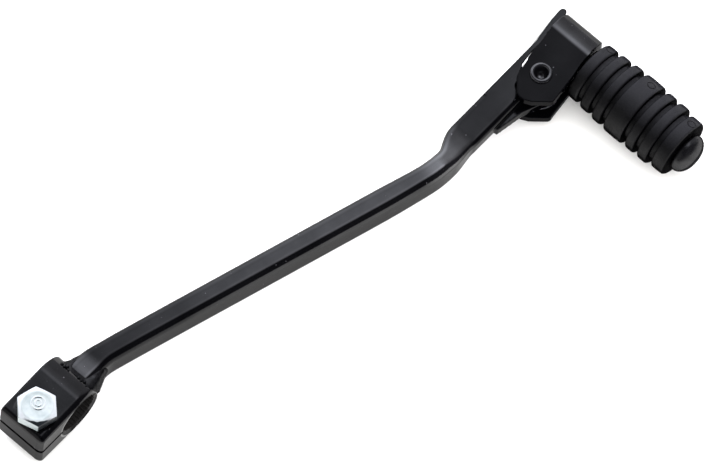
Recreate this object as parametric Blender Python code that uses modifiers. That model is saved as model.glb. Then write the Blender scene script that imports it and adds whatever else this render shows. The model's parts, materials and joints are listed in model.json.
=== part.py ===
"""Folding-toe gear shift lever of a motorcycle, as an assembly of separate pieces.

A split, splined clamp sits on the gear shaft and is closed by a pinch bolt. A flat bar, welded to the
clamp, runs forward and carries a folding toe: a U-shaped bracket that turns on a hollow rivet against a
torsion spring and holds the toe pin with its ribbed rubber.

Frame: the origin is the middle of the clamp's bore and +Y is the bore's axis. +X runs along the lever to
its tip, and +Z runs along the pinch bolt towards its head. The toe pin points to -Y.
"""

import math

import bmesh
import bpy
from mathutils import Matrix, Vector

MM = 0.001
GAP = 0.3 * MM

# Clamp on the gear shaft.
CLAMP_WIDTH = 14.3 * MM
CLAMP_RADIUS = 7.85 * MM
CLAMP_END = 15.2 * MM
CLAMP_END_HALF_HEIGHT = 6.9 * MM
CLAMP_EDGE = 1.5 * MM
SPLINE_TIP_RADIUS = 5.8 * MM
SPLINE_ROOT_RADIUS = 6.25 * MM
SPLINE_TEETH = 32
SLOT_WIDTH = 1.0 * MM

# Pinch bolt, M6 with a hexagon head.
BOLT_X = -9.7 * MM
BOLT_SEAT = 6.95 * MM
BOLT_RADIUS = 2.95 * MM
BOLT_CORE_RADIUS = 2.5 * MM
BOLT_PITCH = 1.0 * MM
BOLT_HEAD_FLATS = 10.0 * MM
BOLT_HEAD_HEIGHT = 4.0 * MM
BOLT_END = -9.1 * MM

# Bar of the lever: its centre line in plan, its section at the clamp and its flattened tip.
BAR_ROOT_WIDTH = 7.5 * MM
BAR_WIDTH = 6.4 * MM
BAR_NECK_WIDTH = 5.8 * MM
BAR_HEIGHT = 10.4 * MM
BAR_EDGE = 1.8 * MM
BAR_ROOT_Y = -0.4 * MM
BAR_SLOPE = -0.297
BAR_FIRST_BEND_X = 13.8 * MM
BAR_SECOND_BEND_X = 112.9 * MM
TIP_WIDTH = 8.4 * MM
TIP_THICKNESS = 6.0 * MM
TIP_CENTRE_Y = -28.2 * MM
TIP_START = 125.0 * MM
TIP_END = 145.0 * MM

# Middle of the toe's layout in plan, and the pivot it turns on.
TOE = Vector((151.5, -32.45, 0.0)) * MM
PIVOT = Vector((150.8, -32.15, 0.0)) * MM
TONGUE_TOP = 0.3 * MM
EYE_RADIUS = 5.6 * MM
EYE_HOLE_RADIUS = 3.9 * MM
SPRING_SEAT_RADIUS = 5.6 * MM
STOP_WALL = 1.4 * MM
STOP_LEAN = 0.247
SLEEVE_RADIUS = 3.6 * MM
SLEEVE_BORE_RADIUS = 2.75 * MM
RIVET_RADIUS = 2.45 * MM
RIVET_HOLE_RADIUS = 1.95 * MM
RIVET_RIM_RADIUS = 2.95 * MM
RIVET_HEAD_RADIUS = 4.2 * MM
WASHER_RADIUS = 5.9 * MM

# Torsion spring on the sleeve.
WIRE_RADIUS = 0.45 * MM
COIL_RADIUS = 4.6 * MM
COIL_START_ANGLE = math.radians(35)
COIL_SWEEP = math.radians(800)
COIL_TOP = 3.1 * MM
COIL_BOTTOM = 0.97 * MM
SPRING_HOLE_RADIUS = 0.8 * MM

# U-shaped toe bracket, folded from sheet round the toe pin.
SHEET = 2.5 * MM
BRACKET_HALF_HEIGHT = 6.35 * MM
FOLD_OFFSET = 12.0 * MM
FOLD_END = 7.1 * MM

# Toe pin and its rubber. Distances run outwards from the toe's middle along -Y.
PIN_OFFSET = 10.95 * MM
PIN_TURN = math.radians(-0.6)
PIN_RADIUS = 3.5 * MM
PIN_INNER_END = -5.0 * MM
PIN_HEAD_RADIUS = 5.6 * MM
PIN_HEAD_START = 39.9 * MM
PIN_TIP = 44.0 * MM
RUBBER_START = 6.5 * MM
RUBBER_END = 39.6 * MM
RUBBER_GROOVE_RADIUS = 7.5 * MM
RUBBER_GROOVE_WIDTH = 0.8 * MM
RUBBER_EDGE = 0.6 * MM
GROOVES = (10.6, 14.9, 19.05, 26.45, 30.6, 35.0)
RIB_RADII = (8.15, 8.7, 9.0, 9.2, 9.0, 8.95, 8.35)

ROUND_STEPS = 36
SIDEWAYS = Matrix.Rotation(math.pi / 2, 4, "X")
FOLD_AXIS = Matrix.Translation(TOE + Vector((FOLD_OFFSET, 0, 0))) @ SIDEWAYS
PIN_PLACE = Matrix.Translation(TOE + Vector((PIN_OFFSET, 0, 0)))
PIN_AXIS = PIN_PLACE @ Matrix.Rotation(PIN_TURN, 4, "Z") @ SIDEWAYS


def clear_scene():
    for item in list(bpy.data.objects):
        bpy.data.objects.remove(item, do_unlink=True)
    for group in list(bpy.data.collections):
        bpy.data.collections.remove(group)


def new_collection(name):
    group = bpy.data.collections.new(name)
    bpy.context.scene.collection.children.link(group)
    return group


def new_material(name, colour, roughness, metallic=0.0):
    material = bpy.data.materials.new(name)
    material.use_nodes = True
    shader = material.node_tree.nodes["Principled BSDF"]
    shader.inputs["Base Color"].default_value = (*colour, 1.0)
    shader.inputs["Roughness"].default_value = roughness
    shader.inputs["Metallic"].default_value = metallic
    material.diffuse_color = (*colour, 1.0)
    return material


def add_piece(name, mesh, material=None, matrix=None):
    """A piece goes in the lever's collection, and a cutter, which has no material, in the cutters'."""
    piece = bpy.data.objects.new(name, mesh)
    if material is None:
        cutters.objects.link(piece)
        piece.hide_render = True
        piece.display_type = "WIRE"
    else:
        lever.objects.link(piece)
        piece.data.materials.append(material)
    if matrix is not None:
        piece.matrix_world = matrix
    return piece


def made_mesh(piece):
    """The same piece with its curve or its modifiers turned into a welded mesh in world space."""
    bpy.context.view_layer.update()
    evaluated = piece.evaluated_get(bpy.context.evaluated_depsgraph_get())
    mesh = bpy.data.meshes.new_from_object(evaluated)
    mesh.transform(piece.matrix_world)
    bm = bmesh.new()
    bm.from_mesh(mesh)
    bmesh.ops.remove_doubles(bm, verts=bm.verts, dist=0.00001)
    bmesh.ops.recalc_face_normals(bm, faces=bm.faces)
    bm.to_mesh(mesh)
    bm.free()
    name = piece.name
    group = piece.users_collection[0]
    wire = piece.display_type == "WIRE"
    old_data = piece.data
    bpy.data.objects.remove(piece, do_unlink=True)
    if isinstance(old_data, bpy.types.Curve):
        bpy.data.curves.remove(old_data)
    result = bpy.data.objects.new(name, mesh)
    group.objects.link(result)
    if wire:
        result.hide_render = True
        result.display_type = "WIRE"
    return result


def smooth(piece, angle=35):
    piece.data.shade_smooth()
    piece.data.set_sharp_from_angle(angle=math.radians(angle))
    return piece


def prism(name, outline, low, high, material=None, matrix=None):
    """A closed flat outline, extruded from low to high along its own Z."""
    curve = bpy.data.curves.new(name, "CURVE")
    curve.dimensions = "2D"
    curve.fill_mode = "BOTH"
    curve.extrude = (high - low) / 2
    spline = curve.splines.new("POLY")
    spline.points.add(len(outline) - 1)
    for point, (x, y) in zip(spline.points, outline):
        point.co = (x, y, 0, 1)
    spline.use_cyclic_u = True
    placed = (matrix or Matrix.Identity(4)) @ Matrix.Translation((0, 0, (high + low) / 2))
    piece = made_mesh(add_piece(name, curve, material, placed))
    bm = bmesh.new()
    bm.from_mesh(piece.data)
    bmesh.ops.dissolve_limit(bm, angle_limit=math.radians(0.5), verts=bm.verts, edges=bm.edges)
    bm.to_mesh(piece.data)
    bm.free()
    return piece


def turned(name, profile, material=None, matrix=None, steps=ROUND_STEPS, closed=False):
    """A profile of (radius, height) points, outer side downwards, turned about its own Z."""
    count = len(profile)
    edges = [(i, i + 1) for i in range(count - 1)]
    if closed:
        edges.append((count - 1, 0))
    mesh = bpy.data.meshes.new(name)
    mesh.from_pydata([(r, 0, z) for r, z in profile], edges, [])
    piece = add_piece(name, mesh, material, matrix)
    screw = piece.modifiers.new("turn", "SCREW")
    screw.steps = steps
    screw.render_steps = steps
    screw.use_merge_vertices = True
    screw.merge_threshold = 0.00001
    return smooth(made_mesh(piece))


def wire(name, points, radius, material, cyclic=False):
    curve = bpy.data.curves.new(name, "CURVE")
    curve.dimensions = "3D"
    curve.bevel_depth = radius
    curve.bevel_resolution = 2
    curve.use_fill_caps = not cyclic
    spline = curve.splines.new("POLY")
    spline.points.add(len(points) - 1)
    for point, place in zip(spline.points, points):
        point.co = (*place, 1)
    spline.use_cyclic_u = cyclic
    return smooth(made_mesh(add_piece(name, curve, material)), 50)


def cylinder(name, radius, low, high, x=0.0, y=0.0, matrix=None):
    """A cutter along its own Z."""
    bm = bmesh.new()
    bmesh.ops.create_cone(
        bm, cap_ends=True, segments=ROUND_STEPS, radius1=radius, radius2=radius, depth=high - low
    )
    bmesh.ops.translate(bm, verts=bm.verts, vec=(x, y, (high + low) / 2))
    mesh = bpy.data.meshes.new(name)
    bm.to_mesh(mesh)
    bm.free()
    return add_piece(name, mesh, None, matrix)


def combine(piece, other, operation):
    boolean = piece.modifiers.new(other.name, "BOOLEAN")
    boolean.operation = operation
    boolean.object = other
    boolean.solver = "EXACT"


def arc(centre, radius, start, end, steps):
    """Points on an arc, angles in radians, both ends included."""
    angles = [start + (end - start) * i / steps for i in range(steps + 1)]
    return [(centre[0] + radius * math.cos(a), centre[1] + radius * math.sin(a)) for a in angles]


def tangent_angle(point, centre, radius, side):
    """Angle on a circle where a straight line from the point touches it, on the side +1 or -1."""
    dx = point[0] - centre[0]
    dy = point[1] - centre[1]
    return math.atan2(dy, dx) + side * math.acos(radius / math.hypot(dx, dy))


def ease(value, low, high):
    t = min(1.0, max(0.0, (value - low) / (high - low)))
    return t * t * (3 - 2 * t)


def past(x, corner, softness):
    """How far x is past a corner, with the corner rounded off."""
    distance = x - corner
    return (distance + math.hypot(distance, softness)) / 2


def make_clamp(material):
    touch = tangent_angle((-CLAMP_END, CLAMP_END_HALF_HEIGHT), (0, 0), CLAMP_RADIUS, -1)
    outline = arc((0, 0), CLAMP_RADIUS, touch, -touch, 24)
    outline += [(-CLAMP_END, -CLAMP_END_HALF_HEIGHT), (-CLAMP_END, CLAMP_END_HALF_HEIGHT)]
    half = CLAMP_WIDTH / 2
    clamp = prism("clamp_boss", outline, -half, half, material, SIDEWAYS)
    edge = clamp.modifiers.new("edge", "BEVEL")
    edge.width = CLAMP_EDGE
    edge.segments = 4
    edge.limit_method = "ANGLE"
    edge.angle_limit = math.radians(40)
    edge.use_clamp_overlap = False
    spline = []
    for i in range(2 * SPLINE_TEETH):
        radius = SPLINE_TIP_RADIUS if i % 2 else SPLINE_ROOT_RADIUS
        angle = math.pi * i / SPLINE_TEETH
        spline.append((radius * math.cos(angle), radius * math.sin(angle)))
    combine(clamp, prism("bore_cut", spline, -CLAMP_WIDTH, CLAMP_WIDTH, None, SIDEWAYS), "DIFFERENCE")
    slot = SLOT_WIDTH / 2
    gash = [(-2 * CLAMP_END, -slot), (-4 * MM, -slot), (-4 * MM, slot), (-2 * CLAMP_END, slot)]
    combine(clamp, prism("slot_cut", gash, -CLAMP_WIDTH, CLAMP_WIDTH, None, SIDEWAYS), "DIFFERENCE")
    screw_hole = cylinder("bolt_hole_cut", BOLT_RADIUS + GAP, -2 * CLAMP_RADIUS, 2 * CLAMP_RADIUS, BOLT_X)
    combine(clamp, screw_hole, "DIFFERENCE")
    seat = cylinder("bolt_seat_cut", BOLT_HEAD_FLATS * 0.6, BOLT_SEAT, 2 * CLAMP_RADIUS, BOLT_X)
    combine(clamp, seat, "DIFFERENCE")
    return smooth(made_mesh(clamp), 30)


def make_bolt(material):
    low = BOLT_SEAT + GAP
    high = low + BOLT_HEAD_HEIGHT
    corner = BOLT_HEAD_FLATS / math.sqrt(3)
    hexagon = arc((0, 0), corner, math.radians(45), math.radians(345), 5)
    place = Matrix.Translation((BOLT_X, 0, 0))
    head = prism("pinch_bolt", hexagon, low, high, material, place)
    chamfer = turned(
        "head_chamfer",
        [
            (0, high + MM),
            (BOLT_HEAD_FLATS * 0.47, high + MM),
            (BOLT_HEAD_FLATS * 0.47, high),
            (corner + MM, high - 1.1 * MM),
            (corner + MM, low - MM),
            (0, low - MM),
        ],
        None,
        place,
    )
    combine(head, chamfer, "INTERSECT")
    profile = [(0, high - MM), (BOLT_CORE_RADIUS, high - MM)]
    turns = round((low - BOLT_END) / BOLT_PITCH) - 1
    for i in range(turns):
        top = low - 0.6 * MM - i * BOLT_PITCH
        profile += [(BOLT_CORE_RADIUS, top), (BOLT_RADIUS, top - BOLT_PITCH / 2)]
    tip = BOLT_CORE_RADIUS - 0.4 * MM
    profile += [(BOLT_CORE_RADIUS, BOLT_END + 0.4 * MM), (tip, BOLT_END), (0, BOLT_END)]
    combine(head, turned("bolt_shank", profile, None, place, 20), "UNION")
    return smooth(made_mesh(head), 25)


def bar_stations():
    """Centre line of the bar in plan, with its heading, width and height at each station."""
    second_y = BAR_ROOT_Y + BAR_SLOPE * (BAR_SECOND_BEND_X - BAR_FIRST_BEND_X)
    stops = [2.0, 9.0, 11.5, 13.0, 14.6, 16.2, 19.0, 44.0, 75.0, 105.0, 108.0, 110.5, 112.9, 115.3]
    stops += [117.8, 120.0, 122.2, 124.4, 127.0, 133.0, TIP_END / MM]

    def centre(x):
        run = past(x, BAR_FIRST_BEND_X, 3 * MM) - past(x, BAR_SECOND_BEND_X, 4 * MM)
        shift = (TIP_CENTRE_Y - second_y) * ease(x, BAR_SECOND_BEND_X + 4 * MM, TIP_START)
        return BAR_ROOT_Y + BAR_SLOPE * run + shift

    stations = []
    for stop in stops:
        x = stop * MM
        step = 0.2 * MM
        heading = math.atan2(centre(x + step) - centre(x - step), 2 * step)
        flat = ease(x, BAR_SECOND_BEND_X + 1 * MM, TIP_START + 2 * MM)
        wide = ease(x, BAR_SECOND_BEND_X + 3 * MM, TIP_START + MM)
        width = BAR_ROOT_WIDTH + (BAR_WIDTH - BAR_ROOT_WIDTH) * ease(x, 10 * MM, 17 * MM)
        width += (BAR_NECK_WIDTH - BAR_WIDTH) * ease(x, 96 * MM, 110 * MM)
        width += (TIP_WIDTH - BAR_NECK_WIDTH) * wide
        height = BAR_HEIGHT + (TIP_THICKNESS - BAR_HEIGHT) * flat
        stations.append((Vector((x, centre(x), 0)), heading, width, height))
    return stations


def bar_section(width, height, radius):
    """Rounded rectangle, as (sideways, upwards) points."""
    section = []
    for corner in range(4):
        start = corner * math.pi / 2
        side = 1 if corner in (0, 3) else -1
        up = 1 if corner in (0, 1) else -1
        centre = (side * (width / 2 - radius), up * (height / 2 - radius))
        section += arc(centre, radius, start, start + math.pi / 2, 3)
    return section


def make_bar(material):
    bm = bmesh.new()
    rings = []
    for place, heading, width, height in bar_stations():
        side = Vector((-math.sin(heading), math.cos(heading), 0))
        section = bar_section(width, height, BAR_EDGE)
        rings.append([bm.verts.new(place + side * a + Vector((0, 0, b))) for a, b in section])
    for before, after in zip(rings, rings[1:]):
        count = len(before)
        for i in range(count):
            j = (i + 1) % count
            bm.faces.new((before[i], before[j], after[j], after[i]))
    bm.faces.new(rings[0][::-1])
    bm.faces.new(rings[-1])
    bmesh.ops.recalc_face_normals(bm, faces=bm.faces)
    mesh = bpy.data.meshes.new("arm_bar")
    bm.to_mesh(mesh)
    bm.free()
    bar = add_piece("arm_bar", mesh, material)
    root = cylinder("root_cut", CLAMP_RADIUS + GAP, -CLAMP_WIDTH, CLAMP_WIDTH, 0, 0, SIDEWAYS)
    combine(bar, root, "DIFFERENCE")
    combine(bar, make_stop_wall(), "UNION")
    seat = cylinder("spring_seat_cut", SPRING_SEAT_RADIUS, -9 * MM, 9 * MM, PIVOT.x, PIVOT.y)
    combine(bar, seat, "DIFFERENCE")
    combine(bar, make_tongue(), "UNION")
    combine(bar, cylinder("eye_cut", EYE_HOLE_RADIUS, -9 * MM, 9 * MM, PIVOT.x, PIVOT.y), "DIFFERENCE")
    hook = spring_hook()
    combine(bar, cylinder("hook_cut", SPRING_HOLE_RADIUS, -9 * MM, 9 * MM, hook.x, hook.y), "DIFFERENCE")
    return smooth(made_mesh(bar), 30)


def make_tongue():
    """Lower half of the tip, which flares outwards and ends in the eye round the pivot."""
    centre = (PIVOT.x, PIVOT.y)
    outer = (TOE.x - 10.1 * MM, TOE.y - 1.95 * MM)
    inner = (TOE.x - 8.5 * MM, TOE.y + 5.0 * MM)
    start = tangent_angle(outer, centre, EYE_RADIUS, 1)
    end = tangent_angle(inner, centre, EYE_RADIUS, -1)
    if start < 0:
        start += 2 * math.pi
    outline = [
        (TOE.x - 18.4 * MM, TOE.y + 0.8 * MM),
        (TOE.x - 18.3 * MM, TOE.y - 0.55 * MM),
        outer,
    ]
    outline += arc(centre, EYE_RADIUS, start, end + 2 * math.pi, 24)
    outline += [inner, (TOE.x - 15 * MM, TOE.y + 6.5 * MM)]
    return prism("tongue", outline, -TIP_THICKNESS / 2, TONGUE_TOP)


def make_stop_wall():
    """Thin leaning wall beside the bracket, with the stop for the end of the bracket's fold."""
    outer = 8.2 * MM
    inner = outer - STOP_WALL
    stop = FOLD_END + GAP
    end = 17.0 * MM
    nose = 1.0 * MM
    outline = [(-14 * MM, outer), (-14 * MM, 3 * MM), (-6 * MM, 3 * MM), (-1.2 * MM, inner - 0.8 * MM)]
    outline += [(-0.9 * MM, inner - 0.4 * MM), (3 * MM, inner), (7.6 * MM, inner), (10.4 * MM, stop)]
    outline += arc((end, stop + nose), nose, -math.pi / 2, math.pi / 2, 6)
    outline += [(13.9 * MM, 9.15 * MM), (8.3 * MM, 8.4 * MM), (7.0 * MM, outer)]
    half = TIP_THICKNESS / 2
    wall = prism("stop_wall", outline, -half, half)
    wall.data.transform(Matrix.Translation(TOE))
    for vertex in wall.data.vertices:
        vertex.co.y += (half - vertex.co.z) * STOP_LEAN
    return wall


def spring_hook():
    """Where the spring's lower end goes down into the tongue."""
    angle = COIL_START_ANGLE + COIL_SWEEP
    leave = Vector((math.cos(angle), math.sin(angle), 0)) * COIL_RADIUS
    along = Vector((-math.sin(angle), math.cos(angle), 0))
    return PIVOT + leave + along * 3.6 * MM


def make_spring(material):
    steps = 44
    points = []
    for i in range(steps + 1):
        angle = COIL_START_ANGLE + COIL_SWEEP * i / steps
        height = COIL_TOP + (COIL_BOTTOM - COIL_TOP) * i / steps
        points.append(PIVOT + Vector((COIL_RADIUS * math.cos(angle), COIL_RADIUS * math.sin(angle), height)))
    outwards = Vector((math.sin(COIL_START_ANGLE), -math.cos(COIL_START_ANGLE), 0))
    points.insert(0, points[0] + outwards * 8.4 * MM)
    hook = spring_hook()
    points.append(Vector((hook.x, hook.y, COIL_BOTTOM)) - (hook - points[-1]).normalized() * 0.4 * MM)
    points.append(Vector((hook.x, hook.y, COIL_BOTTOM - 0.5 * MM)))
    points.append(Vector((hook.x, hook.y, -2.4 * MM)))
    return wire("torsion_spring", points, WIRE_RADIUS, material)


def make_bar_weld(material):
    """Fillet weld round the bar where it meets the barrel of the clamp."""
    bead = 0.7 * MM
    reach = bead + GAP
    section = bar_section(BAR_ROOT_WIDTH + 2 * reach, BAR_HEIGHT + 1.1 * MM + reach, BAR_EDGE + reach)
    finer = []
    for (a, b), (c, d) in zip(section, section[1:] + section[:1]):
        pieces = max(1, round(math.hypot(c - a, d - b) / (1.3 * MM)))
        finer += [(a + (c - a) * i / pieces, b + (d - b) * i / pieces) for i in range(pieces)]
    around = CLAMP_RADIUS + bead + 0.1 * MM
    points = [(math.sqrt(around**2 - b**2), BAR_ROOT_Y + a, b) for a, b in finer]
    return wire("arm_weld", points, bead, material, cyclic=True)


def make_bracket(material):
    inner = BRACKET_HALF_HEIGHT - SHEET
    back = -26 * MM
    quarter = math.pi / 2
    section = [(back, BRACKET_HALF_HEIGHT)]
    section += arc((0, 0), BRACKET_HALF_HEIGHT, quarter, -quarter, 20)
    section += [(back, -BRACKET_HALF_HEIGHT), (back, -inner)]
    section += arc((0, 0), inner, -quarter, quarter, 20)
    section += [(back, inner)]
    bracket = prism("toe_bracket", section, -12 * MM, 12 * MM, material, FOLD_AXIS)
    plan = [(12.5, -5.3), (8.7, -5.5), (4.5, -6.25), (1.4, -6.6), (-2.6, -7.0), (-4.4, -7.2)]
    plan += [(-5.0, -6.9), (-8.4, -3.1), (-9.3, -1.4), (-9.5, -0.1), (-9.1, 1.1), (-5.2, 4.6)]
    plan += [(-3.9, 5.0), (1.4, 5.75), (3.0, 6.0), (5.5, 6.3), (7.3, 6.4), (8.6, 6.6), (9.8, 6.8)]
    plan += [(11.4, 7.1), (16.8, 7.1), (18.0, 6.8), (18.6, 6.0), (18.6, -4.2), (17.2, -4.9)]
    outline = [(TOE.x + x * MM, TOE.y + y * MM) for x, y in plan]
    combine(bracket, prism("bracket_plan", outline, -9 * MM, 9 * MM), "INTERSECT")
    hole = cylinder("rivet_cut", SLEEVE_BORE_RADIUS, -9 * MM, 9 * MM, PIVOT.x, PIVOT.y)
    combine(bracket, hole, "DIFFERENCE")
    return smooth(made_mesh(bracket), 30)


def make_rivet(material):
    seat = BRACKET_HALF_HEIGHT + GAP
    bottom = seat + 2.0 * MM
    profile = [(0, 1.2 * MM), (1.1 * MM, 1.5 * MM), (RIVET_HOLE_RADIUS, 2.5 * MM)]
    rim_middle = (RIVET_HOLE_RADIUS + RIVET_RIM_RADIUS) / 2
    rim = (RIVET_RIM_RADIUS - RIVET_HOLE_RADIUS) / 2
    profile += arc((rim_middle, seat + rim), rim, math.pi, -math.pi / 3, 8)
    profile += [(RIVET_RADIUS, seat), (RIVET_RADIUS, -seat), (RIVET_HEAD_RADIUS, -seat)]
    for i in range(6):
        angle = math.radians(18 * i)
        profile.append((RIVET_HEAD_RADIUS * math.cos(angle), -seat - 0.4 * MM - 1.6 * MM * math.sin(angle)))
    profile[-1] = (0, -bottom)
    return turned("pivot_rivet", profile, material, Matrix.Translation(PIVOT), 28)


def ring(name, outer, inner, low, high, material):
    profile = [(outer, high), (outer, low), (inner, low), (inner, high)]
    return turned(name, profile, material, Matrix.Translation(PIVOT), 28, closed=True)


def make_pin(material):
    profile = [(0, PIN_TIP)]
    rise = PIN_TIP - PIN_HEAD_START - 0.5 * MM
    for i in range(1, 8):
        angle = math.pi / 2 * (1 - i / 7)
        height = PIN_HEAD_START + 0.5 * MM + rise * math.sin(angle)
        profile.append((PIN_HEAD_RADIUS * math.cos(angle), height))
    profile += [(PIN_HEAD_RADIUS, PIN_HEAD_START), (PIN_RADIUS, PIN_HEAD_START)]
    profile += [(PIN_RADIUS, PIN_INNER_END), (0, PIN_INNER_END)]
    return turned("toe_pin", profile, material, PIN_AXIS, 28)


def make_pin_weld(material):
    """Plug weld that closes the fold at the inner end of the toe pin."""
    outer_end = -FOLD_END
    profile = [
        (0, PIN_INNER_END - GAP),
        (PIN_RADIUS, PIN_INNER_END - GAP),
        (PIN_RADIUS, outer_end + 0.5 * MM),
        (PIN_RADIUS * 0.6, outer_end + 0.1 * MM),
        (0, outer_end),
    ]
    return turned("pin_weld", profile, material, PIN_AXIS, 28)


def make_rubber(material):
    half_groove = RUBBER_GROOVE_WIDTH / 2
    inwards = []
    starts = [RUBBER_START] + [centre * MM + half_groove for centre in GROOVES]
    ends = [centre * MM - half_groove for centre in GROOVES] + [RUBBER_END]
    for start, end, rib in zip(starts, ends, RIB_RADII):
        radius = rib * MM
        foot = min(RUBBER_GROOVE_RADIUS, radius - RUBBER_EDGE)
        inwards += [(foot, start), (radius - RUBBER_EDGE / 3, start + RUBBER_EDGE / 2)]
        inwards += [(radius, start + RUBBER_EDGE), (radius, end - RUBBER_EDGE)]
        inwards += [(radius - RUBBER_EDGE / 3, end - RUBBER_EDGE / 2), (foot, end)]
    bore = PIN_RADIUS + GAP
    profile = inwards[::-1] + [(bore, RUBBER_START), (bore, RUBBER_END)]
    return turned("toe_rubber", profile, material, PIN_AXIS, 32, closed=True)


def make_all():
    paint = new_material("black_paint", (0.012, 0.012, 0.015), 0.25)
    new_weld = new_material("painted_weld", (0.014, 0.014, 0.017), 0.35)
    zinc = new_material("zinc_steel", (0.72, 0.75, 0.78), 0.3, 1.0)
    black_steel = new_material("black_steel", (0.02, 0.02, 0.022), 0.3, 0.6)
    spring_steel = new_material("spring_steel", (0.08, 0.08, 0.085), 0.35, 1.0)
    plain_steel = new_material("plain_steel", (0.45, 0.45, 0.46), 0.35, 1.0)
    rubber = new_material("rubber", (0.012, 0.012, 0.013), 0.75)
    pin_finish = new_material("pin_black", (0.014, 0.014, 0.016), 0.4)
    inner = BRACKET_HALF_HEIGHT - SHEET
    make_clamp(paint)
    make_bolt(zinc)
    make_bar(paint)
    make_bar_weld(new_weld)
    make_spring(spring_steel)
    make_bracket(paint)
    make_rivet(black_steel)
    ring("pivot_sleeve", SLEEVE_RADIUS, SLEEVE_BORE_RADIUS, GAP - inner, inner - GAP, plain_steel)
    low = 0.12 * MM - inner
    high = -TIP_THICKNESS / 2 - 0.12 * MM
    ring("thrust_washer", WASHER_RADIUS, EYE_HOLE_RADIUS, low, high, plain_steel)
    make_pin(pin_finish)
    make_pin_weld(new_weld)
    make_rubber(rubber)


clear_scene()
lever = new_collection("folding_shift_lever")
cutters = new_collection("cutters")
make_all()
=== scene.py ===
"""Looks of the folding gear shift lever: fine pieces, materials, floor, light and camera.

Pieces are built in millimetres in the CAD frame and scaled to metres when they are placed. The
origin is the middle of the clamp's bore, +X runs to the tip, +Y along the bore and +Z towards the
bolt's head.
"""

import json
import math

import bmesh
import bpy
from mathutils import Matrix, Vector, noise

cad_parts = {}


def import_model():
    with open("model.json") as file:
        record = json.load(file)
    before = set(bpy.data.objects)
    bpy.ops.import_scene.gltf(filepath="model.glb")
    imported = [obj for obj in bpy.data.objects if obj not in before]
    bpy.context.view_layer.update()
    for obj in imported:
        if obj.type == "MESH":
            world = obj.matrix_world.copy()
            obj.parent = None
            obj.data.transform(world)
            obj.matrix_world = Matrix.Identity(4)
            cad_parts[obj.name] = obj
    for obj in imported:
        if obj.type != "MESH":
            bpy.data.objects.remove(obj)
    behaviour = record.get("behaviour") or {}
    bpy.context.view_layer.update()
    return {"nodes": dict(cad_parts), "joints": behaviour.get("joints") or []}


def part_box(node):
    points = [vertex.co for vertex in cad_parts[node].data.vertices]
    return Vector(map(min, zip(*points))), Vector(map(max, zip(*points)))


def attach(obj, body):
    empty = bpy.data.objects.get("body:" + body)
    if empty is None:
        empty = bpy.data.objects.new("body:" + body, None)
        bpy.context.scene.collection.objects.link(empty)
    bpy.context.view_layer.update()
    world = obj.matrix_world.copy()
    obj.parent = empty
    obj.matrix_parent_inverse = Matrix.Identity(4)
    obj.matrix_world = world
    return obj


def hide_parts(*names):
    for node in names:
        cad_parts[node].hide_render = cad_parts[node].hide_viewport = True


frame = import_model()

MM = 0.001
QUARTER = math.pi / 2
LOW, HIGH = {}, {}
for node in frame["nodes"]:
    low_corner, high_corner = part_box(node)
    LOW[node] = low_corner / MM
    HIGH[node] = high_corner / MM
PIVOT = Vector(frame["joints"][0]["pos_m"]) / MM

# The toe's shapes are measured from this point on the bracket.
TOE = Vector((151.5, -32.45, 0.0))

# Clamp and pinch bolt. The bolt's head sits lower and off its hole's axis, as in the photo.
CLAMP_HALF = HIGH["clamp_boss"].y
CLAMP_RADIUS = 7.85
CLAMP_END = -LOW["clamp_boss"].x
CLAMP_END_HALF_HEIGHT = 6.9
CLAMP_CORNER = 1.5
OUTER_EDGE = 1.9
INNER_EDGE = 0.5
SPLINE_TEETH = 32
SPLINE_ROOT = 6.25
SPLINE_CREST = 5.8
SLOT_HALF = 0.62
SLOT_END = -4
MOUTH_RADIUS = 7.35
BORE_RIM = 7.2
BOLT_X = -9.7
BOLT_HOLE = 3.2
BOLT_SEAT = 6.95
BOLT_FLATS = 9.8
BOLT_CORNER = 5.72
RIM_RADIUS = 5.4
BOLT_TOP = HIGH["pinch_bolt"].z - 0.5
BOLT_END = LOW["pinch_bolt"].z
HEAD_LOW = BOLT_SEAT + 0.3
HEAD_TURN = math.radians(45)
HEAD_PLACE = (BOLT_X + 0.18, -0.19, 0)
CHAMFER_START = 4.3
THREAD_ROOT = 2.45
THREAD_DEPTH = 0.5
THREAD_PITCH = 1.0
THREAD_SIDES = 48
THREAD_ROW = 0.1

# Bar. Its middle runs straight to the first bend, slopes sideways to the second, and then eases
# over to the flattened tip.
ROOT_WIDTH = 7.6
BAR_WIDTH = 6.45
NECK_WIDTH = 5.95
BAR_EDGE = 2.0
TIP_EDGE = 1.4
BAR_HEIGHT = 10.4
ROOT_Y = -0.4
SLOPE = -0.297
FIRST_BEND = 13.8
SECOND_BEND = 112.9
TIP_WIDTH = 8.4
TIP_THICKNESS = 6.0
TIP_Y = -28.2
TIP_START = 125.0
TIP_END = 145.0
TONGUE_TOP = 0.3
BAR_VOXEL = 0.27

# Toe: the tongue's eye and stop wall, the spring, the bracket, the rivet, the pin and the rubber.
EYE_RADIUS = 5.6
EYE_HOLE = 3.9
STOP_LEAN = 0.247
STOP_END = 17.6
STOP_NOSE = 1.05
COIL_RADIUS = 4.6
COIL_START = math.radians(35)
COIL_SWEEP = math.radians(800)
COIL_TOP = 3.35
COIL_BOTTOM = 0.97
HOOK_REACH = 3.6
HOOK_BEND = 0.5
WIRE_RADIUS = 0.42
SHEET = 2.5
BRACKET_HALF = HIGH["toe_bracket"].z
BRACKET_VOXEL = 0.17
FOLD_OFFSET = 12.0
FOLD_SHIFT = 0.35
FOLD_END = 7.1
RIVET_BODY = 2.7
RIVET_HOLE = 1.8
RIVET_ROLL = 3.0
RIVET_HEAD = 4.2
PIN_OFFSET = 10.95
PIN_TURN = math.radians(-0.6)
PIN_RADIUS = 3.5
PIN_HEAD = 5.6
PIN_HEAD_START = 39.9
PIN_TIP = 44.0
RUBBER_START = 6.5
RUBBER_END = 39.4
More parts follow.
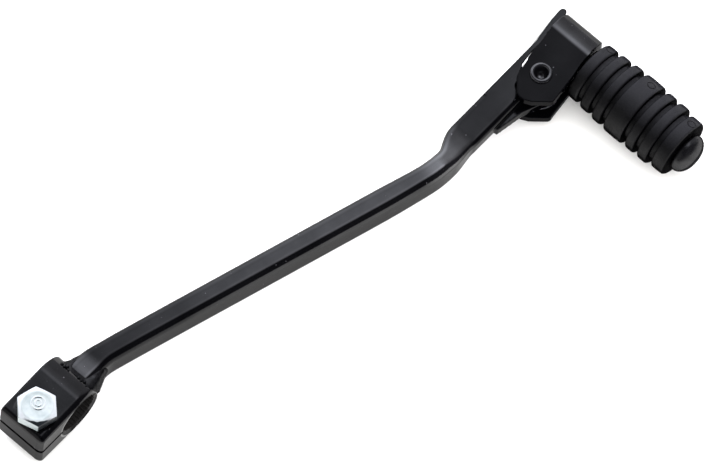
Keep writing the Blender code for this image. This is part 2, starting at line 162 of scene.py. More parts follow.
GROOVES = (10.4, 14.7, 18.85, 26.25, 30.4, 34.8)
GROOVE_RADIUS = 7.35
GROOVE_HALF = 0.7
RIBS = (8.45, 8.7, 9.0, 9.2, 9.0, 8.95, 8.35)
RIB_CORNER = 0.6
SIDEWAYS = Matrix.Rotation(QUARTER, 4, "X")
FOLD_PLACE = Matrix.Translation(TOE + Vector((FOLD_OFFSET, 0, 0)))
FOLD_AXIS = Matrix.Translation((FOLD_SHIFT, 0, 0)) @ FOLD_PLACE @ SIDEWAYS
PIN_PLACE = Matrix.Translation(TOE + Vector((PIN_OFFSET, 0, 0)))
PIN_AXIS = PIN_PLACE @ Matrix.Rotation(PIN_TURN, 4, "Z") @ SIDEWAYS


# Shapes -----------------------------------------------------------------------------------------


def from_bmesh(name, bm, matrix=None):
    """New object from the bmesh, with its normals outwards."""
    bmesh.ops.recalc_face_normals(bm, faces=bm.faces)
    if matrix is not None:
        bm.transform(matrix)
    mesh = bpy.data.meshes.new(name)
    bm.to_mesh(mesh)
    bm.free()
    piece = bpy.data.objects.new(name, mesh)
    bpy.context.scene.collection.objects.link(piece)
    return piece


def prism(name, outline, low, high, matrix=None):
    """Outline in XY carried along Z from low to high."""
    bm = bmesh.new()
    below = [bm.verts.new((x, y, low)) for x, y in outline]
    above = [bm.verts.new((x, y, high)) for x, y in outline]
    bm.faces.new(below[::-1])
    bm.faces.new(above)
    count = len(outline)
    for i in range(count):
        j = (i + 1) % count
        bm.faces.new((below[i], below[j], above[j], above[i]))
    return from_bmesh(name, bm, matrix)


def turned(name, profile, steps=72, matrix=None, closed=False):
    """Profile of (radius, height) points turned about Z. A point of radius 0 becomes one vertex."""
    bm = bmesh.new()
    rings = []
    for radius, height in profile:
        if radius < 1e-6:
            rings.append([bm.verts.new((0, 0, height))])
            continue
        ring = []
        for i in range(steps):
            angle = 2 * math.pi * i / steps
            ring.append(bm.verts.new((radius * math.cos(angle), radius * math.sin(angle), height)))
        rings.append(ring)
    pairs = list(zip(rings, rings[1:]))
    if closed:
        pairs.append((rings[-1], rings[0]))
    for one, two in pairs:
        for i in range(steps):
            j = (i + 1) % steps
            corners = [one[i % len(one)], one[j % len(one)], two[j % len(two)], two[i % len(two)]]
            unique = list(dict.fromkeys(corners))
            if len(unique) > 2:
                bm.faces.new(unique)
    return from_bmesh(name, bm, matrix)


def lofted(name, rings, closed=False):
    """Skin over rings of the same number of points, with flat ends unless it is closed."""
    bm = bmesh.new()
    made = [[bm.verts.new(p) for p in ring] for ring in rings]
    pairs = list(zip(made, made[1:]))
    if closed:
        pairs.append((made[-1], made[0]))
    count = len(made[0])
    for one, two in pairs:
        for i in range(count):
            j = (i + 1) % count
            bm.faces.new((one[i], one[j], two[j], two[i]))
    if not closed:
        bm.faces.new(made[0][::-1])
        bm.faces.new(made[-1])
    return from_bmesh(name, bm)


def cylinder(radius, low, high, centre=(0, 0, 0), steps=72, matrix=None):
    """Solid for cutting a round hole along Z."""
    where = (matrix or Matrix.Identity(4)) @ Matrix.Translation(centre)
    return turned("cutter", [(0, high), (radius, high), (radius, low), (0, low)], steps, where)


def applied(piece):
    """The piece with its modifiers turned into mesh."""
    bpy.context.view_layer.update()
    graph = bpy.context.evaluated_depsgraph_get()
    mesh = bpy.data.meshes.new_from_object(piece.evaluated_get(graph))
    piece.modifiers.clear()
    piece.data = mesh
    return piece


def combined(piece, *others, operation="DIFFERENCE"):
    """The piece after a boolean with each of the others, which are used up."""
    for other in others:
        boolean = piece.modifiers.new("boolean", "BOOLEAN")
        boolean.operation = operation
        boolean.solver = "EXACT"
        boolean.object = other
    applied(piece)
    for other in others:
        bpy.data.objects.remove(other, do_unlink=True)
    return piece


def moulded(piece, voxel):
    """Remade as an even skin whose edges are rounded by about the voxel's size."""
    remesh = piece.modifiers.new("skin", "REMESH")
    remesh.mode = "VOXEL"
    remesh.voxel_size = voxel
    relax = piece.modifiers.new("relax", "SMOOTH")
    relax.factor = 0.5
    relax.iterations = 2
    applied(piece)
    piece.data.shade_smooth()
    return piece


def shaded(piece, angle=30):
    """Smooth, with edges sharper than the angle kept and flat faces kept flat."""
    piece.data.shade_smooth()
    piece.data.set_sharp_from_angle(angle=math.radians(angle))
    weigh = piece.modifiers.new("weigh", "WEIGHTED_NORMAL")
    weigh.keep_sharp = True
    return piece


def place(piece, body, nodes, material):
    """Scales the piece to metres, gives it its material and body, and hides the CAD nodes it
    replaces.
    """
    piece.data.transform(Matrix.Scale(MM, 4))
    piece.data.materials.clear()
    piece.data.materials.append(material)
    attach(piece, body)
    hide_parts(*nodes)


def arc(centre, radius, start, end, steps):
    """Points on a circle from the start angle to the end angle."""
    angles = [start + (end - start) * i / steps for i in range(steps + 1)]
    return [(centre[0] + radius * math.cos(a), centre[1] + radius * math.sin(a)) for a in angles]


def tangent_angle(point, centre, radius, side):
    """Where a line from the point touches the circle, on its left (1) or right (-1) side."""
    dx = point[0] - centre[0]
    dy = point[1] - centre[1]
    return math.atan2(dy, dx) + side * math.acos(radius / math.hypot(dx, dy))


def ease(value, low, high):
    """Smooth step from 0 at low to 1 at high."""
    t = min(1.0, max(0.0, (value - low) / (high - low)))
    return t * t * (3 - 2 * t)


def past(x, corner, softness):
    """How far x is past the corner, with a soft turn from 0."""
    distance = x - corner
    return (distance + math.hypot(distance, softness)) / 2


def bell(distance, middle, width):
    return math.exp(-(((distance - middle) / width) ** 2))


def section(width, height, radius, steps=6):
    """Rectangle about the origin with rounded corners."""
    points = []
    for corner in range(4):
        start = corner * QUARTER
        side = 1 if corner in (0, 3) else -1
        up = 1 if corner in (0, 1) else -1
        centre = (side * (width / 2 - radius), up * (height / 2 - radius))
        points += arc(centre, radius, start, start + QUARTER, steps)
    return points


def dense(points, step):
    """The same closed outline with extra points on its long straight runs."""
    out = []
    for (a, b), (c, d) in zip(points, points[1:] + points[:1]):
        parts = max(1, round(math.hypot(c - a, d - b) / step))
        out += [(a + (c - a) * i / parts, b + (d - b) * i / parts) for i in range(parts)]
    return out


# Materials --------------------------------------------------------------------------------------


def fill_band(node, stops):
    """Gives a colour ramp node its (position, colour) stops."""
    band = node.color_ramp
    band.interpolation = "EASE"
    while len(band.elements) < len(stops):
        band.elements.new(0.5)
    for element, (position, colour) in zip(band.elements, stops):
        element.position = position
        element.color = (*colour, 1)


class Nodes:
    """Short way to write one material's nodes, with its shader ready as .shader."""

    def __init__(self, name, colour, roughness, metallic=0.0, specular=0.5):
        self.material = bpy.data.materials.new(name)
        self.material.use_nodes = True
        self.tree = self.material.node_tree
        self.shader = self.tree.nodes["Principled BSDF"]
        self.shader.inputs["Base Color"].default_value = (*colour, 1)
        self.shader.inputs["Roughness"].default_value = roughness
        self.shader.inputs["Metallic"].default_value = metallic
        self.shader.inputs["Specular IOR Level"].default_value = specular
        self.material.diffuse_color = (*colour, 1)
        coordinates = self.add("ShaderNodeTexCoord").outputs
        self.where = coordinates["Object"]
        self.normal = coordinates["Normal"]

    def add(self, kind, **values):
        node = self.tree.nodes.new(kind)
        for key, value in values.items():
            if key in node.inputs:
                node.inputs[key].default_value = value
            else:
                setattr(node, key, value)
        return node

    def link(self, source, target):
        self.tree.links.new(source, target)

    def feed(self, value, socket):
        """Links the socket to another node's output, or sets it to a number or a colour."""
        if isinstance(value, bpy.types.NodeSocket):
            self.link(value, socket)
        else:
            socket.default_value = (*value, 1) if isinstance(value, tuple) else value

    def noise(self, per_mm, detail=3.0, roughness=0.5, stretch=(1, 1, 1)):
        """Noise with about that many waves to a millimetre."""
        mapping = self.add("ShaderNodeMapping")
        mapping.inputs["Scale"].default_value = [s * per_mm / MM for s in stretch]
        texture = self.add("ShaderNodeTexNoise", Scale=1.0, Detail=detail, Roughness=roughness)
        self.link(self.where, mapping.inputs["Vector"])
        self.link(mapping.outputs["Vector"], texture.inputs["Vector"])
        return texture.outputs["Fac"]

    def ramp(self, source, low, high, start, end):
        """Source values from start to end turned into values from low to high."""
        node = self.add("ShaderNodeMapRange")
        node.inputs["From Min"].default_value = start
        node.inputs["From Max"].default_value = end
        node.inputs["To Min"].default_value = low
        node.inputs["To Max"].default_value = high
        self.link(source, node.inputs["Value"])
        return node.outputs["Result"]

    def spread(self, noise_source, low, high):
        """The range that a noise mostly covers turned into values from low to high."""
        return self.ramp(noise_source, low, high, 0.3, 0.7)

    def axes(self, vector):
        node = self.add("ShaderNodeSeparateXYZ")
        self.link(vector, node.inputs[0])
        return node.outputs

    def facing(self, direction):
        """Cosine of the angle between the surface and a fixed direction of the piece."""
        node = self.add("ShaderNodeVectorMath", operation="DOT_PRODUCT")
        self.link(self.normal, node.inputs[0])
        node.inputs[1].default_value = direction
        return node.outputs["Value"]

    def math(self, operation, one, two=0.0):
        node = self.add("ShaderNodeMath", operation=operation)
        self.feed(one, node.inputs[0])
        self.feed(two, node.inputs[1])
        return node.outputs[0]

    def mix(self, factor, one, two):
        node = self.add("ShaderNodeMix", data_type="RGBA")
        self.link(factor, node.inputs[0])
        self.feed(one, node.inputs[6])
        self.feed(two, node.inputs[7])
        return node.outputs[2]

    def surface(self, colour, roughness, *bumps):
        """Colour, roughness, and bumps from (height source, depth in mm) pairs over each other."""
        self.link(colour, self.shader.inputs["Base Color"])
        self.link(roughness, self.shader.inputs["Roughness"])
        below = None
        for source, depth in bumps:
            node = self.add("ShaderNodeBump", Strength=1.0, Distance=depth * MM)
            self.link(source, node.inputs["Height"])
            if below is not None:
                self.link(below, node.inputs["Normal"])
            below = node.outputs["Normal"]
        self.link(below, self.shader.inputs["Normal"])


def gloss_by_angle(n, face_on, edge_on):
    """Reflection strength from a surface seen face on to one seen edge on."""
    weight = n.add("ShaderNodeLayerWeight", Blend=0.5).outputs["Facing"]
    share = n.add("ShaderNodeMix", data_type="FLOAT")
    n.link(n.ramp(weight, 0.0, 1.0, 0.25, 0.66), share.inputs[0])
    n.feed(face_on, share.inputs[2])
    n.feed(edge_on, share.inputs[3])
    n.link(share.outputs[0], n.shader.inputs["Specular IOR Level"])


def gloss_along(n, stops):
    """Gloss that changes along the lever, from (distance in mm, gloss) stops."""
    start, end = stops[0][0], stops[-1][0]
    band = n.add("ShaderNodeValToRGB")
    fill_band(band, [((x - start) / (end - start), (gloss,) * 3) for x, gloss in stops])
    n.link(n.ramp(n.axes(n.where)["X"], 0.0, 1.0, start * MM, end * MM), band.inputs[0])
    return n.math("MULTIPLY", band.outputs[0], n.spread(n.noise(0.1), 0.8, 1.2))


def from_bore_axis(n):
    """Distance from the bore's axis, in metres."""
    flat = n.add("ShaderNodeVectorMath", operation="MULTIPLY")
    flat.inputs[1].default_value = (1, 0, 1)
    n.link(n.where, flat.inputs[0])
    length = n.add("ShaderNodeVectorMath", operation="LENGTH")
    n.link(flat.outputs[0], length.inputs[0])
    return length.outputs["Value"]


def worn_rim(n):
    """Grazing reflection of the clamp: strong where the paint is rubbed thin round the bore."""
    off = n.math("ABSOLUTE", n.math("SUBTRACT", from_bore_axis(n), BORE_RIM * MM))
    return n.ramp(off, 0.3, 0.024, 0.1 * MM, 0.3 * MM)


def fold_edge(n):
    """Grazing reflection of the toe bracket: clear outside the fold, weak on the cut edges."""
    return n.ramp(n.axes(n.normal)["X"], 0.003, 0.014, 0.2, 0.6)


def black_paint(name, roughness, stops, grazing=None, bore=False):
    """Black enamel: faint orange peel, a slightly uneven gloss and a few dust specks.

    The stops give its gloss along the lever, and grazing makes its reflection seen edge on.
    With bore, the wall of the bore is a little paler, like rubbed steel.
    """
    n = Nodes(name, (0.0007, 0.0007, 0.0009), roughness)
    specks = n.ramp(n.noise(1.1, 1.0), 0.0, 1.0, 0.77, 0.8)
    cloud = n.ramp(n.noise(0.05), 0, 1, 0.35, 0.7)
    tone = n.mix(cloud, (0.0004, 0.0004, 0.0006), (0.0009, 0.0009, 0.0012))
    if bore:
        start, end = (BORE_RIM - 0.8) * MM, (BORE_RIM - 0.3) * MM
        tone = n.mix(n.ramp(from_bore_axis(n), 1, 0, start, end), tone, (0.013, 0.0125, 0.012))
    gloss_by_angle(n, gloss_along(n, stops), grazing(n) if grazing else 0.02)
    n.surface(
        n.mix(specks, tone, (0.05, 0.05, 0.055)),
        n.spread(n.noise(0.3, 4.0), roughness - 0.03, roughness + 0.06),
        (n.noise(0.9, 2.0), 0.006),
        (n.noise(0.12, 1.0), 0.05),
        (specks, 0.02),
    )
    return n.material


def weld_paint():
    """The same enamel over the rough skin of a weld."""
    n = Nodes("weld_paint", (0.003, 0.003, 0.0035), 0.28)
    rough = n.noise(0.8, 4.0, 0.6)
    tone = n.mix(rough, (0.0005, 0.0005, 0.0007), (0.001, 0.001, 0.0013))
    gloss_by_angle(n, n.spread(rough, 0.05, 0.2), 0.006)
    n.surface(tone, n.spread(n.noise(0.5), 0.2, 0.42), (rough, 0.08))
    return n.material


def bright_zinc():
    """Bright zinc plating: a mottled disc, a painted highlight on the chamfer, and painted shade on
    the sides facing −Y and on the part of the chamfer that faces the camera.
    """
    n = Nodes("bright_zinc", (0.72, 0.75, 0.76), 0.36, metallic=0.35)
    cloud = n.noise(0.25, 4.0, 0.6)
    fine = n.noise(2.2)
    _, sideways, upwards = n.axes(n.normal)
    # Painted shade: the chamfer that faces the camera and the sides that face −Y are coloured near
    # black.
    near = n.ramp(n.facing((-0.73, -0.68, 0)), 0, 1, 0.22, 0.29)
    crescent = n.math("MULTIPLY", near, n.ramp(upwards, 0, 1, 0.3, 0.6))
    shade = n.math("MAXIMUM", crescent, n.ramp(sideways, 1, 0, -0.85, -0.5))
    disc = n.mix(n.ramp(cloud, 0, 1, 0.35, 0.65), (0.24, 0.275, 0.28), (0.32, 0.35, 0.355))
    # Painted highlight: the chamfer is coloured paler than the disc and the sides.
    top = n.mix(n.ramp(upwards, 0, 1, 0.95, 0.985), (0.4, 0.42, 0.44), disc)
    tone = n.mix(n.ramp(upwards, 0, 1, 0.2, 0.8), (0.3, 0.34, 0.34), top)
    tone = n.mix(shade, tone, (0.006, 0.008, 0.01))
    n.surface(tone, n.spread(fine, 0.3, 0.42), (cloud, 0.03), (fine, 0.006))
    return n.material


def steel(name, colour, roughness):
    """Turned or drawn steel, with the fine marks of the tool."""
    n = Nodes(name, colour, roughness, metallic=1.0)
    lines = n.noise(3.0, 3.0, 0.6, stretch=(0.3, 0.3, 2.0))
    dark = tuple(c * 0.75 for c in colour)
    light = tuple(min(1.0, c * 1.2) for c in colour)
    uneven = n.spread(lines, roughness - 0.08, roughness + 0.12)
    n.surface(n.mix(n.noise(0.4), dark, light), uneven, (lines, 0.01))
    return n.material


def black_oxide():
    """Smooth black oxide on the rivet."""
    n = Nodes("black_oxide", (0.008, 0.008, 0.01), 0.14, specular=0.6)
    cloud = n.noise(0.5)
    tone = n.mix(cloud, (0.002, 0.002, 0.0026), (0.005, 0.005, 0.006))
    gloss_by_angle(n, n.spread(cloud, 0.5, 0.75), 0.02)
    n.surface(tone, n.spread(n.noise(1.5), 0.1, 0.22), (n.noise(1.2, 2.0), 0.01))
    return n.material


def rubber():
    """Matte moulded rubber: fine grain, a patchy bloom, a few pale specks, and painted light that
    greys the side turned up and towards +X while the side below stays dark.
    """
    n = Nodes("moulded_rubber", (0.005, 0.005, 0.0055), 0.5)
    grain = n.noise(3.0, 4.0, 0.65)
    bloom = n.noise(0.15, 4.0, 0.6)
    # Painted light: the colour gets greyer as the surface turns up and towards +X, and darker below.
    painted_light_mask = n.ramp(n.facing((0.6, 0.0, 0.8)), 0, 1, 0.25, 0.95)
    painted_light_tone = n.mix(painted_light_mask, (0.0006, 0.0006, 0.0008), (0.0105, 0.0105, 0.0128))
    worn = n.mix(n.ramp(bloom, 0, 0.35, 0.35, 0.7), painted_light_tone, (0.002, 0.002, 0.0022))
    specks = n.ramp(n.noise(2.0, 2.0), 0, 1, 0.72, 0.78)
    tone = n.mix(specks, worn, (0.012, 0.012, 0.013))
    gloss_by_angle(n, n.spread(bloom, 0.1, 0.18), 0.001)
    n.surface(tone, n.spread(n.noise(0.6), 0.45, 0.6), (bloom, 0.05), (grain, 0.06))
    return n.material


def pin_black():
    """Satin black on the toe pin."""
    n = Nodes("satin_black", (0.005, 0.005, 0.006), 0.28, specular=0.45)
    tone = n.mix(n.noise(0.3), (0.0016, 0.0016, 0.002), (0.003, 0.003, 0.0036))
    gloss_by_angle(n, n.spread(n.noise(0.5), 0.2, 0.34), 0.001)
    n.surface(tone, n.spread(n.noise(0.7), 0.22, 0.36), (n.noise(1.6), 0.02))
    return n.material


# Clamp and bolt ---------------------------------------------------------------------------------


def clamp_outline(inset):
    """Side view of the clamp, moved inwards by the inset."""
    end, half, radius = CLAMP_END - inset, CLAMP_END_HALF_HEIGHT - inset, CLAMP_RADIUS - inset
    corner = max(CLAMP_CORNER - inset, 0.1)
    touch = tangent_angle((-end, half), (0, 0), radius, -1)
    outline = arc((0, 0), radius, touch, -touch, 96)
    outline += arc((-end + corner, corner - half), corner, -QUARTER, -2 * QUARTER, 6)
    return outline + arc((-end + corner, half - corner), corner, 2 * QUARTER, QUARTER, 6)


def clamp():
    """Split clamp. Its edges are rounder round the barrel than at the ears."""
    share = [0.55 + 0.45 * ease(x, -9.0, 3.0) for x, _ in clamp_outline(0.0)]
    angles = [QUARTER * i / 7 for i in range(8)]
    rings = []
    for side, edge, turns in ((-1, OUTER_EDGE, angles), (1, INNER_EDGE, angles[::-1])):
        for a in turns:
            y = side * (CLAMP_HALF - edge * (1 - math.cos(a)))
            inset = edge * (1 - math.sin(a))
            shrunk = [clamp_outline(inset * part)[i] for i, part in enumerate(share)]
            rings.append([SIDEWAYS @ Vector((x, z, -y)) for x, z in shrunk])
    piece = lofted("clamp_body", rings)
    teeth = []
    root, crest = SPLINE_ROOT, SPLINE_CREST
    for i in range(SPLINE_TEETH):
        for step, radius in ((-0.3, root), (-0.1, crest), (0.1, crest), (0.3, root)):
            angle = 2 * math.pi * (i + step) / SPLINE_TEETH
            teeth.append((radius * math.cos(angle), radius * math.sin(angle)))
    reach = 2 * CLAMP_HALF
    far = -2 * CLAMP_END
    slot = [(far, -SLOT_HALF), (SLOT_END, -SLOT_HALF), (SLOT_END, SLOT_HALF), (far, SLOT_HALF)]
    mouths = []
    for side in (-1, 1):
        face = side * (CLAMP_HALF + 0.5)
        deep = side * (CLAMP_HALF - 0.8)
        cone = [(0, face), (MOUTH_RADIUS, face), (SPLINE_ROOT - 0.05, deep), (0, deep)]
        mouths.append(turned("mouth", cone, 96, SIDEWAYS))
    combined(
        piece,
        prism("bore", teeth, -reach, reach, SIDEWAYS),
        prism("slot", slot, -reach, reach, SIDEWAYS),
        cylinder(BOLT_HOLE, -12, 12, (BOLT_X, 0, 0)),
        cylinder(BOLT_FLATS * 0.6, BOLT_SEAT, 12, (BOLT_X, 0, 0)),
        *mouths,
    )
    return shaded(piece, 25)


def head_radius(angle):
    """Distance from the head's axis to its sides, with the hexagon's corners rounded off."""
    sixth = math.pi / 3
    off = (angle - HEAD_TURN + sixth / 2) % sixth - sixth / 2
    straight = BOLT_FLATS / 2 / math.cos(sixth / 2 - abs(off))
    return min(straight, BOLT_CORNER + 0.1 * abs(off))


def head_top(x, y):
    """Height of the head: chamfered, slightly dished, with a lip and two plain rings."""
    r = math.hypot(x, y)
    fall = past(r, CHAMFER_START, 0.12) * 0.36
    dish = 0.05 * (1 - ease(r, 3.0, 3.7))
    lip = 0.06 * bell(r, 3.9, 0.25)
    stamp = math.hypot(x - 0.8, y - 0.35)
    outer = 0.13 * bell(stamp, 1.75, 0.22)
    inner = 0.11 * bell(stamp, 0.85, 0.18)
    uneven = 0.035 * noise.noise(Vector((x * 0.9, y * 0.9, 4.0))) * (1 - ease(r, 4.2, 4.7))
    return BOLT_TOP - 0.02 - fall - dish + lip + outer + inner + uneven


def bolt_head():
    """Rings from the middle of the top to the rim, then down the sides to the seat."""
    steps = 180
    rings = []
    for f in [i / 34 for i in range(1, 34)] + [0.985, 1.0]:
        ring = []
        for i in range(steps):
            angle = 2 * math.pi * i / steps
            r = head_radius(angle) * f
            x, y = r * math.cos(angle), r * math.sin(angle)
            ring.append(Vector((x, y, head_top(x, y))))
        rings.append(ring)
    rim = rings[-1]
    sides = [([p.z - drop for p in rim], out) for drop, out in ((0.06, 0.035), (0.15, 0.05))]
    for lift, out in ((0.2, 0.05), (0.05, 0.02), (0.0, -0.1)):
        sides.append(([HEAD_LOW + lift] * steps, out))
    for levels, out in sides:
        grow = 1 + out / RIM_RADIUS
        rings.append([Vector((p.x * grow, p.y * grow, z)) for p, z in zip(rim, levels)])
    piece = lofted("pinch_bolt_head", rings)
    piece.data.transform(Matrix.Translation(HEAD_PLACE))
    return shaded(piece, 30)


def bolt_thread():
    """Shank with a real helical thread that fades out at both ends."""
    top, end = HEAD_LOW - 0.02, BOLT_END
    count = round((top - end) / THREAD_ROW)
    rows = []
    for k in range(count + 1):
        z = top + (end - top) * k / count
        fade = ease(z, end, end + 0.7) * (1 - ease(z, top - 1.4, top - 0.6))
        row = []
        for i in range(THREAD_SIDES):
            angle = 2 * math.pi * i / THREAD_SIDES
            phase = (z / THREAD_PITCH + angle / (2 * math.pi)) % 1
            crest = max(0.0, min(1.0, (1 - abs(2 * phase - 1)) * 1.25 - 0.12))
            r = THREAD_ROOT + THREAD_DEPTH * crest * fade
            if z >= top - 1.0:
                r = max(r, THREAD_ROOT + THREAD_DEPTH * ease(z, top - 1.0, top - 0.6))
            r -= 0.45 * (1 - ease(z, end - 0.05, end + 0.45))
            row.append(Vector((BOLT_X + r * math.cos(angle), r * math.sin(angle), z)))
        rows.append(row)
    return shaded(lofted("pinch_bolt_thread", rows), 50)


# Bar and its weld -------------------------------------------------------------------------------


def centre_line(x):
    """Y of the bar's middle at a distance from the bore's axis."""
    second_y = ROOT_Y + SLOPE * (SECOND_BEND - FIRST_BEND)
    run = past(x, FIRST_BEND, 3) - past(x, SECOND_BEND, 4)
    return ROOT_Y + SLOPE * run + (TIP_Y - second_y) * ease(x, SECOND_BEND + 4, TIP_START)


def station(x):
    """Place, sideways direction, width, height and edge radius of the bar."""
    heading = math.atan2(centre_line(x + 0.2) - centre_line(x - 0.2), 0.4)
    flat = ease(x, SECOND_BEND + 1, TIP_START + 2)
    wide = ease(x, SECOND_BEND + 3, TIP_START + 1)
    width = ROOT_WIDTH + (BAR_WIDTH - ROOT_WIDTH) * ease(x, 10, 17)
    width += (NECK_WIDTH - BAR_WIDTH) * ease(x, 96, 110) + (TIP_WIDTH - NECK_WIDTH) * wide
    height = BAR_HEIGHT + (TIP_THICKNESS - BAR_HEIGHT) * flat
    side = Vector((-math.sin(heading), math.cos(heading), 0))
    edge = BAR_EDGE + (TIP_EDGE - BAR_EDGE) * flat
    return Vector((x, centre_line(x), 0)), side, width, height, edge


def tongue_outline():
    """Plan of the tongue: from the bar's tip round the eye and back."""
    centre = (PIVOT.x, PIVOT.y)
    outer = (TOE.x - 10.1, TOE.y - 1.95)
    inner = (TOE.x - 8.5, TOE.y + 5.0)
    start = tangent_angle(outer, centre, EYE_RADIUS, 1)
    end = tangent_angle(inner, centre, EYE_RADIUS, -1)
    if start < 0:
        start += 2 * math.pi
    outline = [(TOE.x - 18.4, TOE.y + 0.8), (TOE.x - 18.3, TOE.y - 0.55), outer]
    outline += arc(centre, EYE_RADIUS, start, end + 2 * math.pi, 48)
    return outline + [inner, (TOE.x - 15, TOE.y + 6.5)]


def stop_wall():
    """Leaning wall beside the tongue, against which the bracket's fold comes to rest."""
    outer = 8.2
    inner = outer - 1.4
    stop = FOLD_END + 0.3
    outline = [(-14, outer), (-14, 3), (-6, 3), (-1.2, inner - 0.8), (-0.9, inner - 0.4), (3, inner)]
    outline += [(7.6, inner), (10.4, stop)]
    outline += arc((STOP_END, stop + STOP_NOSE), STOP_NOSE, -QUARTER, QUARTER, 12)
    outline += [(13.9, 9.25), (8.3, 8.5), (7.0, outer)]
    half = TIP_THICKNESS / 2
    wall = prism("stop_wall", outline, -half, half)
    wall.data.transform(Matrix.Translation(TOE))
    for vertex in wall.data.vertices:
        vertex.co.y += (half - vertex.co.z) * STOP_LEAN
    return wall


def coil_end():
    """Where the spring's coil leaves its circle, and the direction in which it leaves."""
    angle = COIL_START + COIL_SWEEP
    outwards = Vector((math.cos(angle), math.sin(angle), 0))
    return outwards * COIL_RADIUS, Vector((-math.sin(angle), math.cos(angle), 0))


def bar():
    """Bar, tongue and stop wall in one skin, with the eye's hole, coil's seat and hook's hole."""
    stops = [2.0 + 0.5 * i for i in range(40)] + [22.0 + 3 * i for i in range(26)]
    stops += [100.0 + 0.6 * i for i in range(50)] + [131.0, 134.0, 138.0, 141.5, TIP_END]
    rings = []
    for x in stops:
        at, side, width, height, edge = station(x)
        outline = section(width, height, edge, 9)
        rings.append([at + side * a + Vector((0, 0, b)) for a, b in outline])
    piece = lofted("arm_bar_skin", rings)
    combined(piece, cylinder(CLAMP_RADIUS - 0.4, -15, 15, steps=96, matrix=SIDEWAYS))
    tongue = prism("tongue", tongue_outline(), -TIP_THICKNESS / 2, TONGUE_TOP)
    combined(piece, tongue, operation="UNION")
    combined(piece, stop_wall(), operation="UNION")
    end, leave = coil_end()
    hook = PIVOT + end + leave * HOOK_REACH
    combined(
        piece,
        cylinder(EYE_RADIUS, TONGUE_TOP, 9, PIVOT),
        cylinder(EYE_HOLE - 0.1, -9, 9, PIVOT),
        cylinder(0.9, -9, 9, hook, 24),
    )
    return moulded(piece, BAR_VOXEL)


def bar_weld():
    """Fillet weld between bar and barrel: a flat skin on top, hollow sweeps down both sides.

    Each point of the bar's outline gets a curve from the bar (near) to the barrel (far), and
    four more points inside the metal that close the ring.
    """
    base = dense(section(ROOT_WIDTH, BAR_HEIGHT, BAR_EDGE, 12), 0.3)
    count = len(base)
    across = 18
    barrel_limit = 6.9
    rings = [[] for _ in range(across + 5)]
    for i, (a, b) in enumerate(base):
        c, d = base[(i + 1) % count]
        e, f = base[i - 1]
        along = Vector((c - e, d - f)).normalized()
        out = Vector((along.y, -along.x))
        around = 2 * math.pi * i / count
        lap = 0.5 + 0.5 * math.sin(around * 11 + 1.7 * math.sin(around * 2))
        lump = noise.noise(Vector((math.cos(around) * 1.3, math.sin(around) * 1.3, 3.1)))
        outer = ease(-out.x, 0.3, 0.95)
        inner = ease(out.x, 0.3, 0.95)
        under = ease(-b, -2.0, 4.0)
        outer *= 1 - 0.6 * under
        reach_bar = 0.7 + 5.4 * outer + 3.4 * inner + 0.3 * lump
        reach_clamp = 0.5 + 2.3 * outer + 1.0 * inner + 0.15 * lump
        far_y = ROOT_Y + a + out.x * reach_clamp
        far_z = max(-barrel_limit, min(barrel_limit, b + out.y * reach_clamp))
        far_x = math.sqrt(CLAMP_RADIUS**2 - far_z**2)
        foot_x = math.sqrt(max(1.0, CLAMP_RADIUS**2 - b**2))
        heading = centre_line(foot_x + reach_bar) - ROOT_Y
        near = Vector((foot_x + reach_bar, ROOT_Y + a + heading * (1 - abs(out.y)), b))
        far = Vector((far_x, far_y, far_z))
        corner = Vector((foot_x + 0.5 + 0.9 * outer, ROOT_Y + a + out.x * 0.55 * (outer + inner), b))
        swell = 0.12 + 0.7 * outer + 0.08 * lump + 0.03 * lap
        for k in range(across + 1):
            t = k / across
            point = near * (1 - t) ** 2 + corner * 2 * t * (1 - t) + far * t * t
            lift = Vector((1.0, out.x, out.y)).normalized()
            rings[k].append(point + lift * (4 * t * (1 - t) * swell))
        inwards = Vector((0, -out.x, -out.y))
        rings[across + 1].append(far - Vector((0.9, 0, 0)) + inwards * 0.1)
        rings[across + 2].append(Vector((foot_x - 1.0, ROOT_Y + a, b)) + inwards * 0.6)
        rings[across + 3].append(Vector((foot_x + 0.4 * reach_bar, ROOT_Y + a, b)) + inwards * 0.8)
        rings[across + 4].append(near + inwards * 0.5)
    piece = lofted("arm_weld_bead", rings, closed=True)
    for vertex in piece.data.vertices:
        ripple = noise.noise(vertex.co * 0.8) * 0.1
        direction = Vector((0.3, vertex.co.y - ROOT_Y, vertex.co.z)).normalized()
        vertex.co += direction * ripple
    bm = bmesh.new()
    bm.from_mesh(piece.data)
    spatter = [(5.2, 4.1, 6.0, 0.5), (5.0, 3.2, 6.2, 0.42), (5.6, 2.6, 6.0, 0.5)]
    spatter += [(4.9, 1.6, 6.25, 0.3), (5.3, -1.6, 6.0, 0.42), (5.0, -2.6, 6.15, 0.35)]
    spatter += [(5.4, -3.5, 5.9, 0.45), (4.6, -4.6, 6.35, 0.28)]
    for x, y, z, radius in spatter:
        ball = Matrix.Translation((x, y, z)) @ Matrix.Diagonal((1, 1, 0.7, 1))
        bmesh.ops.create_icosphere(bm, subdivisions=3, radius=radius, matrix=ball)
    bm.to_mesh(piece.data)
    bm.free()
    piece.data.shade_smooth()
    return piece


# Toe --------------------------------------------------------------------------------------------


